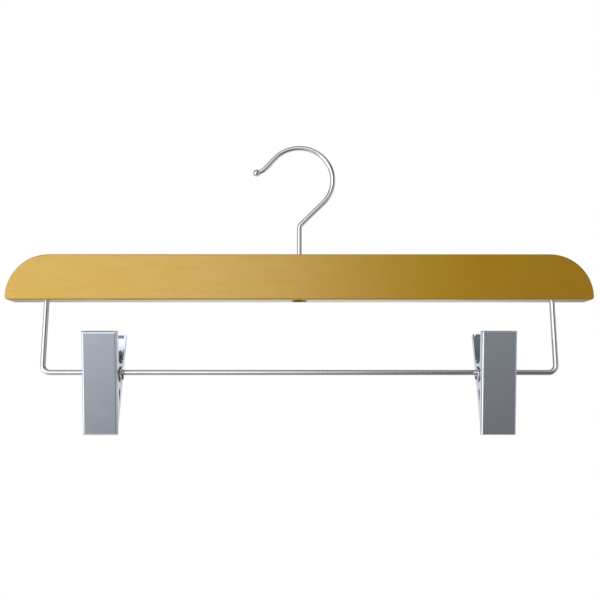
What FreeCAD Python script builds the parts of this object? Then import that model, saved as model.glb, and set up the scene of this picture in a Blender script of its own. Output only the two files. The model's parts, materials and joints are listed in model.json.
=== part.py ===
import FreeCAD, Part
import math
import os
import Sketcher

# Skirt hanger: a flat bar, a swivelling wire hook, a wire rail under the bar
# and two sprung clips that slide along the rail and turn on it.
# Frame in mm: +Z up, +X along the bar, -Y the front.
# The origin is where a closet rod carries the hook, on the inside of its crown.

V = FreeCAD.Vector
ACROSS = V(1, 0, 0)

# Driving sizes in millimetres, angles in degrees
SIZES = {
    # bar
    "bar_length": 355.0,
    "bar_height": 28.0,
    "bar_thickness": 12.0,
    "bar_end_height": 3.0,
    "bar_foot_radius": 2.0,
    "bar_edge_radius": 0.8,
    # hook, radii to the middle of the wire
    "hook_wire": 3.0,
    "hook_rise": 69.8,
    "hook_loop_radius": 21.0,
    "hook_bend_radius": 5.0,
    "hook_lean": 45.0,
    "hook_loop_end": 138.0,
    "hook_run_length": 8.8,
    "hook_flick_radius": 8.0,
    "hook_flick_turn": 29.0,
    "hook_tip_length": 2.1,
    "hook_ball": 4.4,
    "hook_head": 6.0,
    "hook_head_height": 2.0,
    "swivel_clearance": 0.08,
    "head_clearance": 0.2,
    # washer and its counterbore in the underside of the bar
    "washer_diameter": 9.0,
    "washer_thickness": 0.8,
    "counterbore_clearance": 0.3,
    "counterbore_depth": 8.0,
    # rail
    "rail_wire": 3.2,
    "rail_inset": 23.5,
    "rail_drop": 43.4,
    "rail_bend_radius": 4.5,
    "rail_seat_depth": 12.0,
    "seat_clearance": 0.02,
    # clips
    "clip_inset": 37.0,
    "clip_width": 20.5,
    "sheet": 0.8,
    "handle_length": 26.8,
    "jaw_length": 34.4,
    "pivot_depth": 9.7,
    "jaw_tip_depth": 2.75,
    "jaw_tip_clearance": 0.35,
    "flange_depth": 4.5,
    "flange_full_from": 18.0,
    "ear_radius": 6.7,
    "ear_root_flat": 1.2,
    "shell_bend_radius": 1.2,
    "corner_relief": 1.0,
    "nest_clearance": 0.25,
    # pivot tube
    "tube_bore": 6.0,
    "tube_wall": 0.7,
    "tube_head": 9.6,
    "tube_head_thickness": 0.7,
    "pivot_clearance": 0.06,
    "ear_clearance": 0.15,
    "hang_clearance": 0.3,
    # spring
    "spring_wire": 1.5,
    "spring_pitch": 2.2,
    "spring_turns": 5,
    "spring_clearance": 0.4,
    "spring_leg": 18.0,
    "spring_seat_clearance": 0.15,
    # grip pads
    "pad_length": 11.0,
    "pad_side_clearance": 0.3,
    "pad_seat_clearance": 0.1,
    "pad_gap": 0.15,
    "pad_ribs": 4,
    "pad_rib_depth": 0.5,
}

doc = FreeCAD.newDocument("skirt_hanger")
sheet = doc.addObject("Spreadsheet::Sheet", "Dims")
for row, (alias, value) in enumerate(SIZES.items(), start=1):
    sheet.set(f"A{row}", alias)
    sheet.set(f"B{row}", str(value))
    sheet.setAlias(f"B{row}", alias)
doc.recompute()


def size(expression):
    """Value of an expression on the sheet, as a plain number."""
    value = sheet.evalExpression(expression)
    return float(getattr(value, "Value", value))


# Derived sizes, as expressions on the sheet
BAR_TOP = "(Dims.hook_wire / 2 - Dims.hook_rise)"
BAR_FOOT = f"({BAR_TOP} - Dims.bar_height)"
RAIL_HALF = "(Dims.bar_length / 2 - Dims.rail_inset)"
RAIL_Z = f"({BAR_FOOT} - Dims.rail_drop)"
CLIP_X = f"({RAIL_HALF} - Dims.clip_inset)"
PIVOT_Z = f"({RAIL_Z} - Dims.tube_bore / 2 + Dims.rail_wire / 2 + Dims.hang_clearance)"
TUBE_RADIUS = "(Dims.tube_bore / 2 + Dims.tube_wall)"
JAW_ANGLE = (
    "(acos(Dims.jaw_tip_depth / sqrt(Dims.pivot_depth ^ 2 + Dims.jaw_length ^ 2))"
    " - atan(Dims.jaw_length / Dims.pivot_depth))"
)
REAR_WIDTH = "(Dims.clip_width - 2 * Dims.sheet - 2 * Dims.nest_clearance)"
REAR_INSIDE = f"({REAR_WIDTH} - 2 * Dims.sheet)"


def origin_item(body, role):
    """Origin plane or axis of a body."""
    return next(item for item in body.Origin.OriginFeatures if item.Role == role)


def new_body(label):
    """Empty body with its label."""
    body = doc.addObject("PartDesign::Body", label)
    body.Label = label
    return body


def new_sketch(body, name, plane, offset=None):
    """Sketch on an origin plane of its body, moved along the plane's normal."""
    sketch = body.newObject("Sketcher::SketchObject", f"{body.Name}_{name}")
    sketch.AttachmentSupport = [(origin_item(body, plane), "")]
    sketch.MapMode = "FlatFace"
    if offset:
        sketch.setExpression("AttachmentOffset.Base.z", offset)
    return sketch


def pin_point(sketch, geometry, end, spot):
    """Tie one end of an edge to a spot given as two expressions, "0" for an axis."""
    for kind, axis, expression in zip(("DistanceX", "DistanceY"), (-2, -1), spot):
        if expression == "0":
            sketch.addConstraint(Sketcher.Constraint("PointOnObject", geometry, end, axis))
            continue
        rule = Sketcher.Constraint(kind, -1, 1, geometry, end, size(expression))
        index = sketch.addConstraint(rule)
        sketch.setExpression(f"Constraints[{index}]", expression)


def arc_between(start, end, radius, left):
    """Short arc from start to end, its centre on the left or right of the chord."""
    middle = (start + end) * 0.5
    half = (end - start) * 0.5
    bulge = radius - math.sqrt(max(radius ** 2 - half.Length ** 2, 0.0))
    outward = V(half.y, -half.x, 0).normalize()
    return Part.Arc(start, middle + outward * (bulge if left else -bulge), end)


def draw_path(sketch, spots, arcs=None, closed=True):
    """Chain of lines and arcs through the spots, each spot tied to the sheet.

    arcs maps the number of a segment to (radius expression, centre on the left).
    """
    arcs = arcs or {}
    points = [V(size(x), size(y), 0) for x, y in spots]
    count = len(spots) if closed else len(spots) - 1
    ends = []
    for number in range(count):
        start = points[number]
        end = points[(number + 1) % len(points)]
        if number in arcs:
            radius, left = arcs[number]
            index = sketch.addGeometry(arc_between(start, end, size(radius), left), False)
            # a sketch keeps its arcs turning left, so a right-hand arc is stored end first
            ends.append((index, 1, 2) if left else (index, 2, 1))
        else:
            index = sketch.addGeometry(Part.LineSegment(start, end), False)
            ends.append((index, 1, 2))
    for number in range(count):
        index, first, last = ends[number]
        pin_point(sketch, index, first, spots[number])
        if number + 1 < count or closed:
            following, next_first, _ = ends[(number + 1) % count]
            joint = Sketcher.Constraint("Coincident", index, last, following, next_first)
            sketch.addConstraint(joint)
        else:
            pin_point(sketch, index, last, spots[number + 1])
    for number, (radius, _) in arcs.items():
        rule = Sketcher.Constraint("Radius", ends[number][0], size(radius))
        index = sketch.addConstraint(rule)
        sketch.setExpression(f"Constraints[{index}]", radius)


def draw_circle(sketch, radius, x="0"):
    """Circle on the sketch's X axis, its centre and radius tied to the sheet."""
    centre = V(size(x), 0, 0)
    index = sketch.addGeometry(Part.Circle(centre, V(0, 0, 1), size(radius)), False)
    pin_point(sketch, index, 3, (x, "0"))
    rule = sketch.addConstraint(Sketcher.Constraint("Radius", index, size(radius)))
    sketch.setExpression(f"Constraints[{rule}]", radius)


def add_pad(body, name, sketch, length):
    """Pad of a sketch, half of its length to each side."""
    pad = body.newObject("PartDesign::Pad", f"{body.Name}_{name}")
    pad.Profile = sketch
    pad.SideType = "Symmetric"
    pad.setExpression("Length", length)
    doc.recompute()
    return pad


def add_pocket(body, name, sketch, depth=None, flip=False, both=False):
    """Pocket of a sketch, to a depth or right through; it has to remove material."""
    before = body.Shape.Volume
    pocket = body.newObject("PartDesign::Pocket", f"{body.Name}_{name}")
    pocket.Profile = sketch
    pocket.Reversed = flip
    if both:
        pocket.SideType = "Symmetric"
    if depth:
        pocket.setExpression("Length", depth)
    else:
        pocket.Type = "ThroughAll"
    doc.recompute()
    if not body.Shape.Volume < before:
        raise RuntimeError(f"{body.Label}: {name} removed nothing")
    return pocket


def add_fillet(body, name, base, pick, radius):
    """Fillet on the edges of the last feature that pick chooses."""
    names = [f"Edge{n}" for n, edge in enumerate(base.Shape.Edges, start=1) if pick(edge)]
    if not names:
        raise RuntimeError(f"{body.Label}: no edge for {name}")
    fillet = body.newObject("PartDesign::Fillet", f"{body.Name}_{name}")
    fillet.Base = (base, names)
    fillet.setExpression("Radius", radius)
    doc.recompute()
    return fillet


def near(value, target):
    """Same length within a hundredth of a millimetre."""
    return abs(value - target) < 0.01


def place(item, x=None, y=None, z=None):
    """Placement of a sub-part, tied to the sheet."""
    for axis, expression in (("x", x), ("y", y), ("z", z)):
        if expression:
            item.setExpression(f"Placement.Base.{axis}", expression)


# Bar: a rectangle with shoulders, rounded edges, the hook's bore and two rail seats
def make_bar():
    body = new_body("bar")
    half = "Dims.bar_length / 2"
    outline = new_sketch(body, "outline", "XZ_Plane")
    corners = [
        (f"-{half}", "0"),
        (half, "0"),
        (half, "Dims.bar_height"),
        (f"-{half}", "Dims.bar_height"),
    ]
    draw_path(outline, corners)
    pad = add_pad(body, "slab", outline, "Dims.bar_thickness")
    top = size("Dims.bar_height")
    across = size("Dims.bar_thickness")

    def is_shoulder(edge):
        return near(edge.BoundBox.YLength, across) and near(edge.BoundBox.ZMin, top)

    def is_foot(edge):
        return near(edge.BoundBox.YLength, across) and near(edge.BoundBox.ZMin, 0)

    def is_outline(edge):
        return near(edge.BoundBox.YLength, 0) and near(abs(edge.BoundBox.YMin), across / 2)

    shoulder = "Dims.bar_height - Dims.bar_end_height"
    shoulders = add_fillet(body, "shoulders", pad, is_shoulder, shoulder)
    feet = add_fillet(body, "feet", shoulders, is_foot, "Dims.bar_foot_radius")
    add_fillet(body, "edges", feet, is_outline, "Dims.bar_edge_radius")

    bore = new_sketch(body, "bore", "XY_Plane")
    draw_circle(bore, "Dims.hook_wire / 2 + Dims.swivel_clearance")
    add_pocket(body, "hook_bore", bore, flip=True)
    recess = new_sketch(body, "recess", "XY_Plane")
    draw_circle(recess, "Dims.washer_diameter / 2 + Dims.counterbore_clearance")
    add_pocket(body, "counterbore", recess, "Dims.counterbore_depth", flip=True)
    for name, sign in (("left", "-"), ("right", "")):
        seat = new_sketch(body, f"{name}_seat", "XY_Plane")
        draw_circle(seat, "Dims.rail_wire / 2 + Dims.seat_clearance", f"{sign}{RAIL_HALF}")
        add_pocket(body, f"{name}_rail_seat", seat, "Dims.rail_seat_depth", flip=True)
    place(body, z=BAR_FOOT)
    return body


def add_pipe(body, name, path, wire, x, z):
    """Round wire along a path sketch, starting straight up or down at x, z."""
    section = new_sketch(body, f"{name}_section", "XY_Plane", z)
    draw_circle(section, f"{wire} / 2", x)
    pipe = body.newObject("PartDesign::AdditivePipe", f"{body.Name}_{name}")
    pipe.Profile = section
    pipe.Spine = (path, [f"Edge{n}" for n in range(1, path.GeometryCount + 1)])
    doc.recompute()
    return pipe


# Rail: one wire bent into a wide U, its ends pressed into the bar
def make_rail():
    body = new_body("rail")
    bend = "Dims.rail_bend_radius"
    top = "Dims.rail_seat_depth - Dims.seat_clearance"
    path = new_sketch(body, "path", "XZ_Plane")
    stops = [
        (f"-{RAIL_HALF}", top),
        (f"-{RAIL_HALF}", f"{bend} - Dims.rail_drop"),
        (f"{bend} - {RAIL_HALF}", "-Dims.rail_drop"),
        (f"{RAIL_HALF} - {bend}", "-Dims.rail_drop"),
        (RAIL_HALF, f"{bend} - Dims.rail_drop"),
        (RAIL_HALF, top),
    ]
    draw_path(path, stops, {1: (bend, True), 3: (bend, True)}, closed=False)
    doc.recompute()
    add_pipe(body, "wire", path, "Dims.rail_wire", f"-{RAIL_HALF}", top)
    place(body, z=BAR_FOOT)
    return body


# Hook: shank, lean, loop, run, flicked tip with a ball, and the upset head under the washer
def make_hook():
    body = new_body("hook")
    loop = "Dims.hook_loop_radius"
    lean = "Dims.hook_lean"
    centre_z = f"(Dims.hook_wire / 2 - {loop})"
    corner_z = f"({centre_z} - {loop} / cos({lean}))"
    bend_cut = f"(Dims.hook_bend_radius * tan(45 - {lean} / 2))"
    head_top = (
        f"({BAR_FOOT} + Dims.counterbore_depth - Dims.washer_thickness - Dims.head_clearance)"
    )
    foot = f"({head_top} - Dims.hook_head_height)"
    flick = "Dims.hook_flick_radius"
    leave = "(90 + Dims.hook_loop_end)"
    heading = f"({leave} - Dims.hook_flick_turn)"
    loop_end = (
        f"{loop} * cos(Dims.hook_loop_end)",
        f"{centre_z} + {loop} * sin(Dims.hook_loop_end)",
    )
    run_end = (
        f"{loop_end[0]} + Dims.hook_run_length * cos({leave})",
        f"{loop_end[1]} + Dims.hook_run_length * sin({leave})",
    )
    flick_end = (
        f"{run_end[0]} + {flick} * (sin({leave}) - sin({heading}))",
        f"{run_end[1]} + {flick} * (cos({heading}) - cos({leave}))",
    )
    tip = (
        f"{flick_end[0]} + Dims.hook_tip_length * cos({heading})",
        f"{flick_end[1]} + Dims.hook_tip_length * sin({heading})",
    )
    stops = [
        ("0", foot),
        ("0", f"{corner_z} - {bend_cut}"),
        (f"{bend_cut} * cos({lean})", f"{corner_z} + {bend_cut} * sin({lean})"),
        (f"{loop} * sin({lean})", f"{centre_z} - {loop} * cos({lean})"),
        (loop, centre_z),
        ("0", f"{centre_z} + {loop}"),
        loop_end,
        run_end,
        flick_end,
        tip,
    ]
    arcs = {
        1: ("Dims.hook_bend_radius", False),
        3: (loop, True),
        4: (loop, True),
        5: (loop, True),
        7: (flick, False),
    }
    path = new_sketch(body, "path", "XZ_Plane")
    draw_path(path, stops, arcs, closed=False)
    doc.recompute()
    add_pipe(body, "wire", path, "Dims.hook_wire", "0", foot)

    ball = body.newObject("PartDesign::AdditiveSphere", "hook_ball")
    ball.setExpression("Radius", "Dims.hook_ball / 2")
    ball.setExpression("Placement.Base.x", tip[0])
    ball.setExpression("Placement.Base.z", tip[1])
    head = body.newObject("PartDesign::AdditiveCylinder", "hook_upset_head")
    head.setExpression("Radius", "Dims.hook_head / 2")
    head.setExpression("Height", "Dims.hook_head_height")
    head.setExpression("Placement.Base.z", foot)
    doc.recompute()
    return body


# Washer between the upset head and the bar
def make_washer():
    disc = doc.addObject("Part::Cylinder", "washer_disc")
    disc.setExpression("Radius", "Dims.washer_diameter / 2")
    disc.setExpression("Height", "Dims.washer_thickness")
    hole = doc.addObject("Part::Cylinder", "washer_hole")
    hole.setExpression("Radius", "Dims.hook_wire / 2 + Dims.swivel_clearance")
    hole.setExpression("Height", "Dims.washer_thickness")
    washer = doc.addObject("Part::Cut", "hook_washer")
    washer.Base = disc
    washer.Tool = hole
    washer.Label = "hook_washer"
    place(washer, z=f"{BAR_FOOT} + Dims.counterbore_depth - Dims.washer_thickness")
    doc.recompute()
    return washer


def tilt(body, front, x):
    """Closed pose of a jaw's piece: on the pivot, leaning so that the jaw tips meet."""
    axis = ACROSS if front else -ACROSS
    body.Placement = FreeCAD.Placement(V(0, 0, 0), FreeCAD.Rotation(axis, size(JAW_ANGLE)))
    body.setExpression("Placement.Rotation.Angle", JAW_ANGLE)
    place(body, x=x, z=PIVOT_Z)


# Jaw: a stamped shell with flanges, pivot ears, end rims and corner reliefs
def make_jaw(label, front, x):
    body = new_body(label)
    side = "-1" if front else "1"
    width = "Dims.clip_width" if front else REAR_WIDTH
    ear = "Dims.ear_radius"
    edge_y = f"{side} * (Dims.pivot_depth - Dims.flange_depth)"
    tip_y = f"{side} * (Dims.pivot_depth - Dims.jaw_tip_depth + Dims.jaw_tip_clearance)"
    outline = new_sketch(body, "side", "YZ_Plane")
    corners = [
        (f"{side} * Dims.pivot_depth", "Dims.handle_length"),
        (f"{side} * Dims.pivot_depth", "-Dims.jaw_length"),
        (tip_y, "-Dims.jaw_length"),
        (edge_y, "-Dims.flange_full_from"),
        (edge_y, f"-{ear}"),
        ("0", f"-{ear}"),
        (f"-({side}) * {ear}", "0"),
        ("0", ear),
        (edge_y, ear),
        (edge_y, "Dims.handle_length"),
    ]
    draw_path(outline, corners, {5: (ear, front), 6: (ear, front)})
    pad = add_pad(body, "block", outline, width)

    across = size(width)
    root_y = size(edge_y)
    ear_z = size(ear)
    face_y = size(f"{side} * Dims.pivot_depth")

    def is_root(edge):
        box = edge.BoundBox
        return near(box.XLength, across) and near(box.YMin, root_y) and near(abs(box.ZMin), ear_z)

    def is_rim(edge):
        box = edge.BoundBox
        return near(box.YMin, face_y) and near(box.YMax, face_y)

    root = "Dims.pivot_depth - Dims.flange_depth - Dims.ear_root_flat"
    roots = add_fillet(body, "roots", pad, is_root, root)
    add_fillet(body, "bends", roots, is_rim, "Dims.shell_bend_radius")

    inside = f"({width} / 2 - Dims.sheet)"
    slot = f"({inside} - Dims.corner_relief)"
    top = "(Dims.handle_length - Dims.sheet)"
    foot = "(Dims.sheet - Dims.jaw_length)"
    over = "(Dims.handle_length + Dims.sheet)"
    under = "(-Dims.jaw_length - Dims.sheet)"
    right = [
        (slot, under),
        (inside, under),
        (inside, over),
        (slot, over),
        (slot, top),
    ]
    left = [(f"-{px}", pz) for px, pz in reversed(right)]
    hollow = [(slot, foot)] + right + left + [(f"-{slot}", foot)]
    lift = "" if front else "-"
    cavity = new_sketch(body, "cavity", "XZ_Plane", f"{lift}(Dims.pivot_depth - Dims.sheet)")
    draw_path(cavity, hollow)
    add_pocket(body, "inside", cavity, flip=not front)

    hole = new_sketch(body, "hole", "YZ_Plane")
    draw_circle(hole, f"{TUBE_RADIUS} + Dims.pivot_clearance")
    add_pocket(body, "ear_holes", hole, "2 * Dims.clip_width", both=True)
    tilt(body, front, x)
    return body


# Grip pad: a wedge between the plate and the middle plane of the clip, ribbed
def make_pad(label, front, x):
    body = new_body(label)
    side = "-1" if front else "1"
    plate = f"{side} * (Dims.pivot_depth - Dims.sheet)"
    low = "(Dims.sheet + Dims.pad_seat_clearance - Dims.jaw_length)"
    ribs = int(round(size("Dims.pad_ribs")))

    def grip(step, depth):
        z = f"({low} + Dims.pad_length * {step} / (2 * {ribs} - 1))"
        y = f"{side} * (-{z} * tan({JAW_ANGLE}) + (Dims.pad_gap + {depth}) / cos({JAW_ANGLE}))"
        return (y, z)

    face = []
    for rib in range(ribs):
        face += [grip(2 * rib, "0"), grip(2 * rib + 1, "0")]
        if rib + 1 < ribs:
            face += [grip(2 * rib + 1, "Dims.pad_rib_depth"), grip(2 * rib + 2, "Dims.pad_rib_depth")]
    outline = new_sketch(body, "side", "YZ_Plane")
    corners = [(plate, f"{low} + Dims.pad_length"), (plate, low)]
    draw_path(outline, corners + face)
    add_pad(body, "wedge", outline, f"{REAR_INSIDE} - 2 * Dims.pad_side_clearance")
    tilt(body, front, x)
    return body


# Pivot tube: a hollow rivet, its two heads outside the ears of the front jaw
def make_tube(label, x):
    body = new_body(label)
    ears = "(Dims.clip_width / 2 + Dims.ear_clearance)"
    end = f"({ears} + Dims.tube_head_thickness)"
    bore = "Dims.tube_bore / 2"
    outline = new_sketch(body, "section", "XY_Plane")
    right = [(ears, TUBE_RADIUS), (ears, "Dims.tube_head / 2"), (end, "Dims.tube_head / 2"), (end, bore)]
    left = [(f"-{px}", radius) for px, radius in reversed(right)]
    draw_path(outline, left + right)
    turned = body.newObject("PartDesign::Revolution", f"{label}_turned")
    turned.Profile = outline
    turned.ReferenceAxis = (origin_item(body, "X_Axis"), [""])
    turned.Angle = 360
    doc.recompute()
    place(body, x=x, z=PIVOT_Z)
    return body


def biarc(start, start_way, end, end_way):
    """Two arcs that leave start and reach end along the given ways."""
    gap = end - start
    ways = start_way + end_way
    a = 2 * (start_way.dot(end_way) - 1)
    b = -2 * gap.dot(ways)
    c = gap.dot(gap)
    if abs(a) < 1e-12:
        reach = -c / b
    else:
        reach = (-b - math.sqrt(b * b - 4 * a * c)) / (2 * a)
    first = start + start_way * reach
    second = end - end_way * reach
    meet = (first + second) * 0.5
    edges = []
    for near_end, knee, far_end in ((start, first, meet), (meet, second, end)):
        chord = (near_end + far_end) * 0.5
        half = (far_end - near_end).Length / 2
        bulge = half * math.tan(math.acos(min(half / reach, 1.0)) / 2)
        middle = chord + (knee - chord).normalize() * bulge
        edges.append(Part.Arc(near_end, middle, far_end).toShape())
    return edges


def spring_path(turns, pitch, radius, leg, lean):
    """Middle line of the spring: front leg, coil from -X to +X, rear leg.

    The legs leave the coil as tangents, lean degrees to the front and to the back.
    """
    start = lean
    sweep = 2 * math.pi * turns + math.pi - 2 * lean
    rise = pitch * sweep / (2 * math.pi)
    quarters = int(round(sweep / (math.pi / 2)))
    stops = []
    for number in range(quarters + 1):
        angle = start + sweep * number / quarters
        spot = V(rise * (number / quarters - 0.5), -radius * math.cos(angle), -radius * math.sin(angle))
        # the coil is flat where a leg starts
        slope = 0.0 if number in (0, quarters) else rise / sweep
        way = V(slope, radius * math.sin(angle), -radius * math.cos(angle)).normalize()
        stops.append((spot, way))
    first, first_way = stops[0]
    last, last_way = stops[-1]
    edges = [Part.LineSegment(first - first_way * leg, first).toShape()]
    for (spot, way), (next_spot, next_way) in zip(stops, stops[1:]):
        edges += biarc(spot, way, next_spot, next_way)
    edges.append(Part.LineSegment(last, last + last_way * leg).toShape())
    return edges, first_way


def least_gap(edges, wire, apart):
    """Smallest gap of a wire to itself, between points more than apart along it."""
    points = []
    for edge in edges:
        steps = max(4, int(edge.Length / 0.4))
        points += edge.discretize(Number=steps)[:-1]
    along = [0.0]
    for one, two in zip(points, points[1:]):
        along.append(along[-1] + (two - one).Length)
    gap = 1e9
    for i, one in enumerate(points):
        for j in range(i + 1, len(points)):
            if along[j] - along[i] > apart:
                gap = min(gap, (points[j] - one).Length - wire)
    return gap


# Spring: a wound coil round the tube, one leg against the inside of each handle
def make_spring(label, x):
    wire = size("Dims.spring_wire")
    radius = size(f"{TUBE_RADIUS} + Dims.spring_clearance + Dims.spring_wire / 2")
    leg = size("Dims.spring_leg")
    seat = size("Dims.pivot_depth - Dims.sheet - Dims.spring_wire / 2 - Dims.spring_seat_clearance")
    splay = math.atan2(leg, radius) - math.acos(seat / math.hypot(leg, radius))
    lean = math.radians(size(JAW_ANGLE)) + splay
    turns = int(round(size("Dims.spring_turns")))
    edges, way = spring_path(turns, size("Dims.spring_pitch"), radius, leg, lean)
    start = edges[0].Vertexes[0].Point
    section = Part.Wire([Part.Circle(start, way, wire / 2).toShape()])
    spring = doc.addObject("Part::Feature", label)
    spring.Label = label
    spring.Shape = Part.Wire(edges).makePipeShell([section], True, False)
    place(spring, x=x, z=PIVOT_Z)
    print(f"{label}: least gap to itself {least_gap(edges, wire, 6 * wire):.2f} mm")
    return spring


pieces = [make_bar(), make_rail(), make_hook(), make_washer()]
for hand, sign in (("left", "-"), ("right", "")):
    offset = f"{sign}{CLIP_X}"
    pieces.append(make_tube(f"{hand}_pivot_tube", offset))
    pieces.append(make_spring(f"{hand}_spring", offset))
    for which, front in (("front", True), ("rear", False)):
        pieces.append(make_jaw(f"{hand}_{which}_jaw", front, offset))
        pieces.append(make_pad(f"{hand}_{which}_pad", front, offset))
doc.recompute()

for item in doc.Objects:
    if "Invalid" in item.State or "Error" in item.State:
        raise RuntimeError(f"{item.Label}: {item.State}")
os.makedirs("parts", exist_ok=True)
for piece in pieces:
    shape = piece.Shape
    if shape.isNull() or not shape.isValid() or len(shape.Solids) != 1:
        raise RuntimeError(f"{piece.Label} is not one valid solid")
    shape.exportStep(f"parts/{piece.Label}.step")
    box = shape.optimalBoundingBox(False, False)
    print(f"{piece.Label}: {box.XLength:.2f} x {box.YLength:.2f} x {box.ZLength:.2f} mm")
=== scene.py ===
# %% [markdown]
# A skirt hanger, dressed for a picture
#
# The construction drawing gives us sixteen solids: a flat bar, a wire rail, a swivelling hook with
# its washer, and two sprung clips. They arrive as a fixed frame, already in metres and in place.
# In this lesson we keep the solids whose shape is right, rebuild the wound and the soft pieces,
# and give every surface a finish. An empty scene comes first, so that nothing is counted twice.

# %% Load the frame
import json
import math

import bpy
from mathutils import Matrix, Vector

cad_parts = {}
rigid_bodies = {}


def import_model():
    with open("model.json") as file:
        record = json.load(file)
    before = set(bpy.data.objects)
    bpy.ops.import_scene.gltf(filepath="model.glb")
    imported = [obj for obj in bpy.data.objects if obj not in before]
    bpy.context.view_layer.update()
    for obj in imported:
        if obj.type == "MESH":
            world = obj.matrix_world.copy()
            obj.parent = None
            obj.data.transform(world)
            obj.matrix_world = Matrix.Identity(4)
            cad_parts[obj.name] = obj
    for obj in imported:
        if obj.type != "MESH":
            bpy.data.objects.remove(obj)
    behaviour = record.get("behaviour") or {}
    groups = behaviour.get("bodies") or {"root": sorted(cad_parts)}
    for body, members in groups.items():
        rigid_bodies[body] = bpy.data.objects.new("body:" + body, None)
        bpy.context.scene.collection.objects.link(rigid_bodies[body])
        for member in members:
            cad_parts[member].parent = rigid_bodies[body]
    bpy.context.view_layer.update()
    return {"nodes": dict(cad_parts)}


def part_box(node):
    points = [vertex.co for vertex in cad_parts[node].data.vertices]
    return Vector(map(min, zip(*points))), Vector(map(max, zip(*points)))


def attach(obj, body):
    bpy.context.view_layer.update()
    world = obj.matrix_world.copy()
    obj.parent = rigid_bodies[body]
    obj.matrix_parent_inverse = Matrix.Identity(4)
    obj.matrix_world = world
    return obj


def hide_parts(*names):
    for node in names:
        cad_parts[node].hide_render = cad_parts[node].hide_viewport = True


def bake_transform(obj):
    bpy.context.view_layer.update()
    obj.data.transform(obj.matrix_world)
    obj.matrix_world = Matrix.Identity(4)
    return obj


bpy.ops.object.select_all(action="SELECT")
bpy.ops.object.delete()
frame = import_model()
bpy.ops.object.select_all(action="DESELECT")

# %% [markdown]
# The camera
#
# The picture was taken from a little below the bar, looking slightly up: we see the underside of
# the bar as a thin strip. We could aim a camera by eye, but the straight edges of the bar let us
# work out its place, and then the drawn sizes fall on the right pixels.

# %% Set the camera
CAMERA_PLACE = (0.0004, -0.3893, -0.1559)
CAMERA_PITCH = math.radians(8.8)
CAMERA_LENS = 38.74
CAMERA_SENSOR = 36.0
NEAREST_SEEN = 0.01

bpy.ops.object.camera_add(location=CAMERA_PLACE, rotation=(math.pi / 2 + CAMERA_PITCH, 0, 0))
camera = bpy.context.object
camera.name = "camera"
camera.data.lens = CAMERA_LENS
camera.data.sensor_width = CAMERA_SENSOR
camera.data.clip_start = NEAREST_SEEN
bpy.context.scene.camera = camera
bpy.context.scene.view_settings.view_transform = "Standard"
print("camera at", [round(v, 3) for v in camera.location], "lens", camera.data.lens, "mm")

# %% [markdown]
# Shader arithmetic
#
# A finish is a formula: a colour plus a little grain, a roughness less a little polish. Written as
# nodes, each plus sign is a box with two wires. We wrap a socket in a small class, so that we can
# write the formula with + and * and let the class add the boxes. Four short functions then hold
# the steps that all finishes share.

# %% A socket that can be added and multiplied
class Shade:
    """A socket of a node tree. Arithmetic on it adds Math nodes."""

    def __init__(self, tree, socket=None):
        self.tree = tree
        self.socket = socket

    def node(self, kind, settings=None, sockets=None, output=0):
        """Add a node: its settings first, then the values or links of its sockets."""
        made = self.tree.nodes.new(kind)
        for name, value in (settings or {}).items():
            setattr(made, name, value)
        for name, value in (sockets or {}).items():
            if isinstance(value, Shade):
                self.tree.links.new(value.socket, made.inputs[name])
            else:
                made.inputs[name].default_value = value
        return Shade(self.tree, made.outputs[output] if made.outputs else None)

    def math(self, operation, first, second):
        """Add a Math node that works on two values or sockets."""
        return self.node("ShaderNodeMath", {"operation": operation}, {0: first, 1: second})

    def __add__(self, other):
        return self.math("ADD", self, other)

    def __rsub__(self, other):
        return self.math("SUBTRACT", other, self)

    def __mul__(self, other):
        return self.math("MULTIPLY", self, other)

    __radd__ = __add__
    __rmul__ = __mul__

    def ramp(self, low, high):
        """Nought below low, one above high, and a soft step between them."""
        settings = {"interpolation_type": "SMOOTHSTEP"}
        sockets = {"Value": self, "From Min": low, "From Max": high}
        return self.node("ShaderNodeMapRange", settings, sockets)


# %% Four steps that every finish uses
MIX_FACTOR, MIX_ONE, MIX_TWO, MIX_COLOUR = 0, 6, 7, 2  # the colour sockets of a Mix node


def new_finish(name):
    """Material with an empty tree: returns it and the place its pieces are measured from."""
    finish = bpy.data.materials.new(name)
    finish.use_nodes = True
    finish.node_tree.nodes.clear()
    return finish, Shade(finish.node_tree).node("ShaderNodeTexCoord", output="Object")


def noise(place, scale, detail=2.0, stretch=(1, 1, 1)):
    """Soft grey noise, scale in lumps per metre, stretched along the axes."""
    spot = place.node("ShaderNodeMapping", None, {"Vector": place, "Scale": stretch})
    sockets = {"Vector": spot, "Scale": scale, "Detail": detail}
    return place.node("ShaderNodeTexNoise", None, sockets)


def blend_colours(factor, one, two):
    """Colour between one and two."""
    sockets = {MIX_FACTOR: factor, MIX_ONE: (*one, 1), MIX_TWO: (*two, 1)}
    return factor.node("ShaderNodeMix", {"data_type": "RGBA"}, sockets, output=MIX_COLOUR)


def coat(finish, place, bumps, depth, **sockets):
    """The shader itself, with bumps of this depth, wired to the output."""
    raised = {"Height": bumps, "Distance": depth, "Strength": 1.0}
    sockets["Normal"] = place.node("ShaderNodeBump", None, raised)
    named = {name.replace("_", " "): value for name, value in sockets.items()}
    shader = place.node("ShaderNodeBsdfPrincipled", None, named)
    place.node("ShaderNodeOutputMaterial", None, {"Surface": shader})
    print("finish", finish.name, "has", len(finish.node_tree.nodes), "nodes")


# %% [markdown]
# Gold lacquer on the bar
#
# The bar is wood under a satin lacquer: metal flakes in an amber binder, under a clear coat. One
# even gold would do from afar. But a flake is pale and reflects the room, while the binder is deep
# orange and only scatters light, so a real bar turns from yellow to brown as it leaves the light.
# So we let very fine specks choose between the two. A mottling as wide as a finger shows where the
# spray lay thicker, and the grain of the wood prints through as long faint streaks: noise that is
# stretched along the bar.

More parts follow.
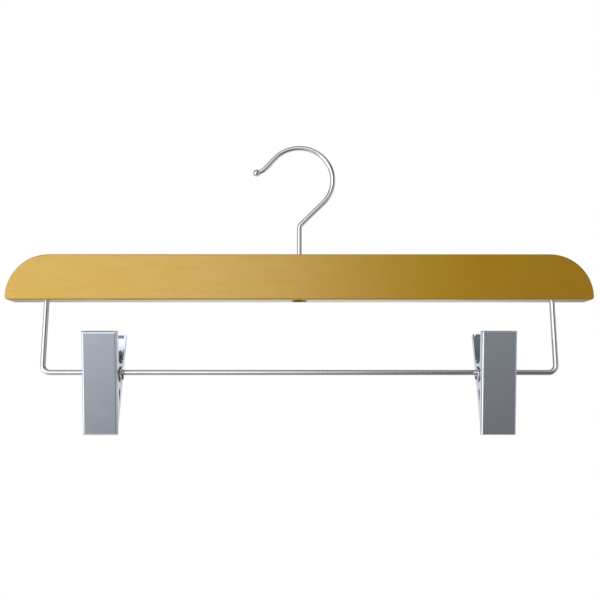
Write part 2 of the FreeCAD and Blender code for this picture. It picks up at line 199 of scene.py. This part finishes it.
# %% Mix the gold lacquer
BINDER = (0.58, 0.155, 0.003)
FLAKE = (0.64, 0.485, 0.010)
LACQUER_PEEL = 0.00006

gold_lacquer, place = new_finish("gold_lacquer")
mottling = noise(place, scale=40.0, detail=3.0)
peel = noise(place, scale=1300.0, detail=3.0)
grain = noise(place, scale=500.0, detail=4.0, stretch=(0.06, 1, 1))
specks = noise(place, scale=11000.0, detail=1.0)
flakes = (0.92 * specks + 0.04 * grain + 0.04 * mottling).ramp(0.39, 0.57)
coat(
    gold_lacquer,
    place,
    bumps=0.3 * grain + 0.7 * peel,
    depth=LACQUER_PEEL,
    Base_Color=blend_colours(flakes, BINDER, FLAKE),
    Roughness=0.36 + 0.1 * mottling + 0.08 * grain,
    Metallic=flakes,
    Coat_Weight=0.4 + 1.1 * grain,
    Coat_Roughness=0.12,
    Coat_IOR=1.65,
)

# %% [markdown]
# Chrome on sheet and on wire
#
# The clips are stamped from thin sheet and plated. Stamped sheet is never quite flat, so a
# reflection in it wavers; tumbling leaves it a soft satin, and fingers leave faint smudges. The
# wire is drawn and polished: it is much brighter, with only a trace of the die. One chrome for
# both would be quicker, but the sheet would then look like a mirror, so we make two finishes.

# %% Plate the sheet
CLEAN_SHEET, SMUDGED_SHEET = (0.72, 0.775, 0.86), (0.63, 0.685, 0.775)
SHEET_WAVES = 0.0001

chrome_sheet, place = new_finish("chrome_sheet")
tumbled = noise(place, scale=900.0, detail=4.0, stretch=(1, 1, 0.3))
wavy = noise(place, scale=55.0, detail=1.0)
smudges = noise(place, scale=90.0, detail=1.0).ramp(0.35, 0.75)
coat(
    chrome_sheet,
    place,
    bumps=wavy + 0.03 * tumbled,
    depth=SHEET_WAVES,
    Base_Color=blend_colours(0.4 * tumbled + 0.6 * smudges, CLEAN_SHEET, SMUDGED_SHEET),
    Roughness=0.19 + 0.06 * tumbled + 0.05 * smudges,
    Metallic=1.0,
)

# %% Plate the wire
HANDLED_WIRE, BRIGHT_WIRE = (0.70, 0.71, 0.73), (0.80, 0.81, 0.83)
DIE_MARKS = 0.00003

chrome_wire, place = new_finish("chrome_wire")
handled = noise(place, scale=120.0, detail=3.0)
coat(
    chrome_wire,
    place,
    bumps=noise(place, scale=800.0),
    depth=DIE_MARKS,
    Base_Color=blend_colours(handled, HANDLED_WIRE, BRIGHT_WIRE),
    Roughness=0.03 + 0.08 * handled,
    Metallic=1.0,
)

# %% [markdown]
# Spring steel, zinc and vinyl
#
# Three small finishes that we see between the other pieces. Spring wire is drawn hard and left
# bare, so it is darker and has fine streaks. The washer is zinc plated, with a crystal spangle:
# noise has no crystals, but the cells of a Voronoi texture look like them. The grip pads are soft
# vinyl with a matt moulded grain. Each is one coat with its own pattern, as above.

# %% Draw the spring steel
DARK_STREAK, PALE_STREAK = (0.30, 0.30, 0.31), (0.48, 0.475, 0.47)
STREAK_DEPTH = 0.00002

spring_steel, place = new_finish("spring_steel")
streaks = noise(place, scale=1500.0, detail=3.0, stretch=(1, 0.3, 0.3))
coat(
    spring_steel,
    place,
    bumps=streaks,
    depth=STREAK_DEPTH,
    Base_Color=blend_colours(streaks, DARK_STREAK, PALE_STREAK),
    Roughness=0.22 + 0.2 * streaks,
    Metallic=1.0,
)

# %% Plate the washer
PALE_CRYSTAL, DARK_CRYSTAL = (0.56, 0.57, 0.56), (0.44, 0.45, 0.46)
ZINC_GRAIN = 0.00002

zinc_plate, place = new_finish("zinc_plate")
spangle = place.node("ShaderNodeTexVoronoi", None, {"Vector": place, "Scale": 900.0})
coat(
    zinc_plate,
    place,
    bumps=noise(place, scale=1500.0),
    depth=ZINC_GRAIN,
    Base_Color=blend_colours(spangle, PALE_CRYSTAL, DARK_CRYSTAL),
    Roughness=0.3 + 0.2 * spangle,
    Metallic=1.0,
)

# %% Colour the vinyl
CLEAN_VINYL, GRUBBY_VINYL = (0.80, 0.795, 0.77), (0.70, 0.695, 0.66)
VINYL_GRAIN = 0.00006

pale_vinyl, place = new_finish("pale_vinyl")
moulded = noise(place, scale=2200.0, detail=3.0)
grubby = noise(place, scale=160.0)
coat(
    pale_vinyl,
    place,
    bumps=moulded,
    depth=VINYL_GRAIN,
    Base_Color=blend_colours(grubby, CLEAN_VINYL, GRUBBY_VINYL),
    Roughness=0.5 + 0.15 * moulded,
)

# %% [markdown]
# The solids that stay
#
# Bar, hook, rail, washer and the two stamped jaws of each clip are drawn as they are made. We could
# model them again, but nothing would be gained: we only change what fills their material slot.

# %% Give the solids their finish
FINISH_OF = {
    "bar": gold_lacquer,
    "hook": chrome_wire,
    "rail": chrome_wire,
    "hook_washer": zinc_plate,
}
for hand in ("left", "right"):
    FINISH_OF[f"{hand}_front_jaw"] = chrome_sheet
    FINISH_OF[f"{hand}_rear_jaw"] = chrome_sheet
for node, finish in FINISH_OF.items():
    frame["nodes"][node].material_slots[0].material = finish
print("finished", len(FINISH_OF), "solids")

# %% [markdown]
# Pivot tubes and grip pads
#
# The pivot is a hollow rivet: a tube whose ends are rolled over, so its rims are round. The pads
# are moulded, and a mould can't give a sharp rib. Both could be modelled anew, but the drawing has
# their sizes, so we take a copy of the solid, merge its loose triangles, melt the flat ones
# together and bevel the corners that are left.

# %% Round off a copy of a solid
MERGE_DISTANCE = 0.000005
FLAT_ANGLE = math.radians(1)
CORNER_ANGLE = math.radians(40)
ROUND_ANGLE = math.radians(50)
ROUNDING_STEPS = 3


def rounded_copy(node, piece_name, width, finish):
    """Copy of a solid with its sharp corners rounded by width."""
    bpy.ops.object.select_all(action="DESELECT")
    piece = frame["nodes"][node].copy()
    piece.data = piece.data.copy()
    piece.name = piece_name
    piece.parent = None
    for key in list(piece.keys()):
        del piece[key]
    bpy.context.scene.collection.objects.link(piece)
    bpy.context.view_layer.objects.active = piece
    piece.select_set(True)
    bpy.ops.mesh.customdata_custom_splitnormals_clear()
    bpy.ops.object.mode_set(mode="EDIT")
    bpy.ops.mesh.select_all(action="SELECT")
    bpy.ops.mesh.remove_doubles(threshold=MERGE_DISTANCE)
    bpy.ops.mesh.dissolve_limited(angle_limit=FLAT_ANGLE)
    bpy.ops.object.mode_set(mode="OBJECT")
    rounding = piece.modifiers.new("rounding", "BEVEL")
    rounding.width = width
    rounding.segments = ROUNDING_STEPS
    rounding.angle_limit = CORNER_ANGLE
    bpy.ops.object.modifier_apply(modifier=rounding.name)
    bpy.ops.object.shade_smooth_by_angle(angle=ROUND_ANGLE)
    piece.material_slots[0].material = finish
    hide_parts(node)
    return piece


# %% Roll the rivets and mould the pads
ROLLED_RIM = 0.0003
PAD_ROUNDING = 0.00018

for hand in ("left", "right"):
    rivet = rounded_copy(f"{hand}_pivot_tube", f"{hand}_rivet", ROLLED_RIM, chrome_wire)
    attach(rivet, f"{hand}_slider")
    for side in ("front", "rear"):
        pad = rounded_copy(f"{hand}_{side}_pad", f"{hand}_{side}_grip", PAD_ROUNDING, pale_vinyl)
        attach(pad, f"{hand}_{side}")
    print(hand, "rivet", len(rivet.data.polygons), "faces, pad", len(pad.data.polygons), "faces")

# %% [markdown]
# The wound spring
#
# A torsion spring is one wire, wound on a mandrel and left with two straight legs that push the
# handles apart. We could sweep a curve, but winding is closer to how it is made: a small circle is
# the wire's section, and a Screw modifier carries it round the axis while it moves along. The legs
# are extruded from the two open ends, and each end is capped and chamfered.

# %% Wind one spring
WIRE = 0.0015
WIRE_SIDES = 16
COIL_RADIUS = 0.00485
PITCH = 0.0022
LEAN = math.radians(21.65)
SWEEP = math.radians(5 * 360 + 180) - 2 * LEAN
RISE = PITCH * SWEEP / (2 * math.pi)
WINDING_STEPS = 216

front_end = Vector((-RISE / 2, -COIL_RADIUS * math.cos(LEAN), -COIL_RADIUS * math.sin(LEAN)))
rear_end = Vector((RISE / 2, COIL_RADIUS * math.cos(LEAN), -COIL_RADIUS * math.sin(LEAN)))
bpy.ops.mesh.primitive_circle_add(
    vertices=WIRE_SIDES, radius=WIRE / 2, location=front_end, rotation=(math.pi + LEAN, 0, 0)
)
coil = bpy.context.object
coil.name = "coil"
bpy.ops.object.transform_apply(location=True, rotation=True, scale=True)
winding = coil.modifiers.new("winding", "SCREW")
winding.axis = "X"
winding.angle = SWEEP
winding.screw_offset = RISE
winding.steps = winding.render_steps = WINDING_STEPS
bpy.ops.object.modifier_apply(modifier=winding.name)
print("wound", len(coil.data.polygons), "faces,", round(SWEEP / (2 * math.pi), 2), "turns")

# %% Draw out its two legs
LEG = 0.018
LEG_CHAMFER = 0.00025
NEAR_END = 0.51 * WIRE


def draw_leg(end, way):
    """Extrude the open end of the coil at a place by one leg, then cap and chamfer it."""
    bpy.ops.object.mode_set(mode="EDIT")
    bpy.ops.mesh.select_mode(type="VERT")
    bpy.ops.mesh.select_all(action="DESELECT")
    bpy.ops.object.mode_set(mode="OBJECT")
    for vertex in coil.data.vertices:
        vertex.select = (vertex.co - end).length < NEAR_END
    bpy.ops.object.mode_set(mode="EDIT")
    bpy.ops.mesh.extrude_region_move(TRANSFORM_OT_translate={"value": way * LEG})
    bpy.ops.mesh.edge_face_add()
    bpy.ops.mesh.bevel(offset=LEG_CHAMFER, segments=2, affect="EDGES")
    bpy.ops.object.mode_set(mode="OBJECT")


draw_leg(front_end, Vector((0, -math.sin(LEAN), math.cos(LEAN))))
draw_leg(rear_end, Vector((0, math.sin(LEAN), math.cos(LEAN))))
print("spring is", [round(v * 1000, 2) for v in coil.dimensions], "mm with its legs")

# %% Smooth and finish the spring
CHAMFER_ANGLE = math.radians(45)

bpy.ops.object.mode_set(mode="EDIT")
bpy.ops.mesh.select_all(action="SELECT")
bpy.ops.mesh.normals_make_consistent(inside=False)
bpy.ops.object.mode_set(mode="OBJECT")
bpy.ops.object.shade_smooth_by_angle(angle=CHAMFER_ANGLE)
coil.data.materials.append(spring_steel)
print("spring has", len(coil.data.polygons), "faces in", coil.data.materials[0].name)

# %% [markdown]
# One spring for each clip
#
# The spring is copied to both pivots, in place of the drawn one. Its front leg rests on the front
# handle and its rear leg on the rear one, so when the clip opens the coil has to twist.

# %% Fit the springs
for hand in ("left", "right"):
    low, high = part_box(f"{hand}_pivot_tube")
    pivot = (low + high) / 2
    bpy.ops.object.select_all(action="DESELECT")
    spring = coil.copy()
    spring.data = coil.data.copy()
    spring.name = f"{hand}_wound_spring"
    bpy.context.scene.collection.objects.link(spring)
    bpy.context.view_layer.objects.active = spring
    spring.select_set(True)
    spring.location = pivot
    bpy.ops.object.transform_apply(location=True, rotation=True, scale=True)
    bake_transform(spring)
    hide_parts(f"{hand}_spring")
    print(spring.name, "at", [round(v * 1000, 1) for v in pivot], "mm")
bpy.data.objects.remove(coil)

# %% [markdown]
# The floor
#
# The part hangs over white paper that shows only a soft shadow. We could leave the paper out, but
# then nothing would tell the eye how high the part hangs. So a plane takes the shadow: where it is
# looked at, it is mostly plain white with some matt paper mixed in, and towards its rim the paper
# fades out, so that no edge shows.

# %% Lay the floor
FLOOR_MIDDLE = (0, 0.6, -0.75)
FLOOR_SIZE = (2.4, 0.8, 1.0)

bpy.ops.mesh.primitive_plane_add(size=1.0, location=FLOOR_MIDDLE)
floor = bpy.context.object
floor.name = "floor"
floor.scale = FLOOR_SIZE
bpy.ops.object.transform_apply(location=True, rotation=True, scale=True)
print("floor is", [round(v, 2) for v in floor.dimensions], "m")

# %% Paper the floor
PALE_PAPER, GREY_PAPER = (0.90, 0.90, 0.90), (0.86, 0.86, 0.86)
PAPER_SHARE = 0.15
WHITE = (1, 1, 1, 1)
CAMERA_RAY, MIRROR_RAY, GLASS_RAY = "Is Camera Ray", "Is Glossy Ray", "Is Transmission Ray"

pale_floor, place = new_finish("pale_floor")
paper = blend_colours(noise(place, scale=6.0), PALE_PAPER, GREY_PAPER)
matt = place.node("ShaderNodeBsdfDiffuse", None, {"Color": paper})
white = place.node("ShaderNodeEmission", None, {"Color": WHITE, "Strength": 1.0})
rays = [
    place.node("ShaderNodeLightPath", output=kind) for kind in (CAMERA_RAY, MIRROR_RAY, GLASS_RAY)
]
looked_at = place.math("MAXIMUM", place.math("MAXIMUM", rays[0], rays[1]), rays[2])
half_floor = [side / 2 for side in FLOOR_SIZE]
unit_place = {"Vector": place, "Location": FLOOR_MIDDLE, "Scale": half_floor}
from_middle = place.node("ShaderNodeMapping", {"vector_type": "TEXTURE"}, unit_place)
length = {"operation": "LENGTH"}
rim = place.node("ShaderNodeVectorMath", length, {0: from_middle}, output="Value").ramp(0.1, 1.0)
whiteness = ((1 - PAPER_SHARE) + PAPER_SHARE * rim) * looked_at
seen_floor = place.node("ShaderNodeMixShader", None, {0: whiteness, 1: matt, 2: white})
place.node("ShaderNodeOutputMaterial", None, {"Surface": seen_floor})
floor.data.materials.append(pale_floor)
print("floor finish has", len(pale_floor.node_tree.nodes), "nodes")

# %% [markdown]
# The room and the lamp
#
# Polished metal has no colour of its own: it shows the room. A studio has a white backdrop, a large
# screen in front that is lit from the left, and dark gaps between the lights. We could build these
# sheets, but they are only ever seen as reflections, so we paint them on the world by direction:
# across, along and up. The screen makes the bar fade from pale to deep gold and keeps the flat
# clips grey. A strip at the left, a wall at the right and a light overhead whiten their folded
# edges, and a low card lights the faces that look down. One soft lamp lights what isn't polished.
# It is kept out of the reflections, which the painted room alone should give.

# %% Split the room by direction
room = bpy.data.worlds.new("room")
bpy.context.scene.world = room
room.use_nodes = True
room.node_tree.nodes.clear()
way = Shade(room.node_tree).node("ShaderNodeTexCoord", output="Generated")
across, along, up = [
    way.node("ShaderNodeSeparateXYZ", None, {"Vector": way}, output=axis) for axis in "XYZ"
]
backdrop = along.ramp(0.86, 0.99)
front = 1 - along.ramp(-0.3, 0.05)
leftward = 1 - across.ramp(-0.35, 0.42)
print("room split with", len(room.node_tree.nodes), "nodes")


# %% Hang the screen in front
def band(value, rise, fall):
    """One between two soft edges and nought outside them."""
    return value.ramp(*rise) * (1 - value.ramp(*fall))


UPPER_DARK, UPPER_LIT = 0.03, 1.56
LOWER_DARK, LOWER_LIT = 0.30, 0.42

screen = band(up, rise=(-0.55, -0.42), fall=(0.4, 0.65))
upper_half = up.ramp(-0.2, 0.1)
lit_end = 1 - across.ramp(-0.17, 0.25)
left_fading = 0.6 + 0.4 * across.ramp(-0.85, -0.5)
foot_fading = 0.43 + 0.55 * up.ramp(-0.45, 0.0)
upper_glow = (UPPER_DARK + UPPER_LIT * lit_end) * left_fading
lower_glow = (LOWER_DARK + LOWER_LIT * leftward) * foot_fading
screen_glow = screen * (upper_half * upper_glow + (1 - upper_half) * lower_glow)
print("room with its screen has", len(room.node_tree.nodes), "nodes")

# %% Add the strip, the low card, the light overhead and the walls
FRONT_GLOW, SIDE_GLOW, LEFT_GLOW = 0.06, 0.18, 0.2
STRIP_GLOW, OVERHEAD_GLOW, RIGHT_WALL_GLOW = 1.5, 0.6, 0.34
CARD_DARK, CARD_LIT = 0.1, 0.7

strip = (1 - across.ramp(-0.65, -0.42)) * band(up, rise=(-0.6, -0.5), fall=(-0.15, 0.05))
low_card = band(up, rise=(-0.93, -0.85), fall=(-0.68, -0.58))
overhead = band(up, rise=(0.62, 0.78), fall=(0.93, 0.99))
right_wall = across.ramp(0.62, 0.8) * (1 - up.ramp(0.3, 0.6))
front_glow = (
    FRONT_GLOW
    + OVERHEAD_GLOW * overhead
    + STRIP_GLOW * strip
    + LEFT_GLOW * leftward * up.ramp(0.0, 0.5)
    + screen_glow
    + low_card * (CARD_DARK + CARD_LIT * leftward)
)
side_glow = SIDE_GLOW + LEFT_GLOW * leftward * (1 - up.ramp(0.1, 0.5))
around = front * front_glow + (1 - front) * side_glow + RIGHT_WALL_GLOW * right_wall
studio = backdrop + (1 - backdrop) * around
print("room with its lights has", len(room.node_tree.nodes), "nodes")

# %% Light the room
seen, through = [
    way.node("ShaderNodeLightPath", output=kind) for kind in (CAMERA_RAY, GLASS_RAY)
]
plain = way.math("MAXIMUM", seen, through)
light = plain + (1 - plain) * studio
glow = way.node("ShaderNodeBackground", None, {"Color": WHITE, "Strength": light})
way.node("ShaderNodeOutputWorld", None, {"Surface": glow})
print("room has", len(room.node_tree.nodes), "nodes")

# %% Hang the lamp
LAMP_PLACE = Vector((-1.1, -0.65, 0.25))
LAMP_SIZE = 1.6
LAMP_WATTS = 4.4
PART_MIDDLE = Vector((0, 0, -0.09))

facing = (PART_MIDDLE - LAMP_PLACE).to_track_quat("-Z", "Y").to_euler()
bpy.ops.object.light_add(type="AREA", location=LAMP_PLACE, rotation=facing)
lamp = bpy.context.object
lamp.name = "front_left_lamp"
lamp.data.size = LAMP_SIZE
lamp.data.energy = LAMP_WATTS
lamp.visible_camera = False
lamp.visible_glossy = False
print(lamp.name, "of", LAMP_WATTS, "W is", LAMP_SIZE, "m wide")
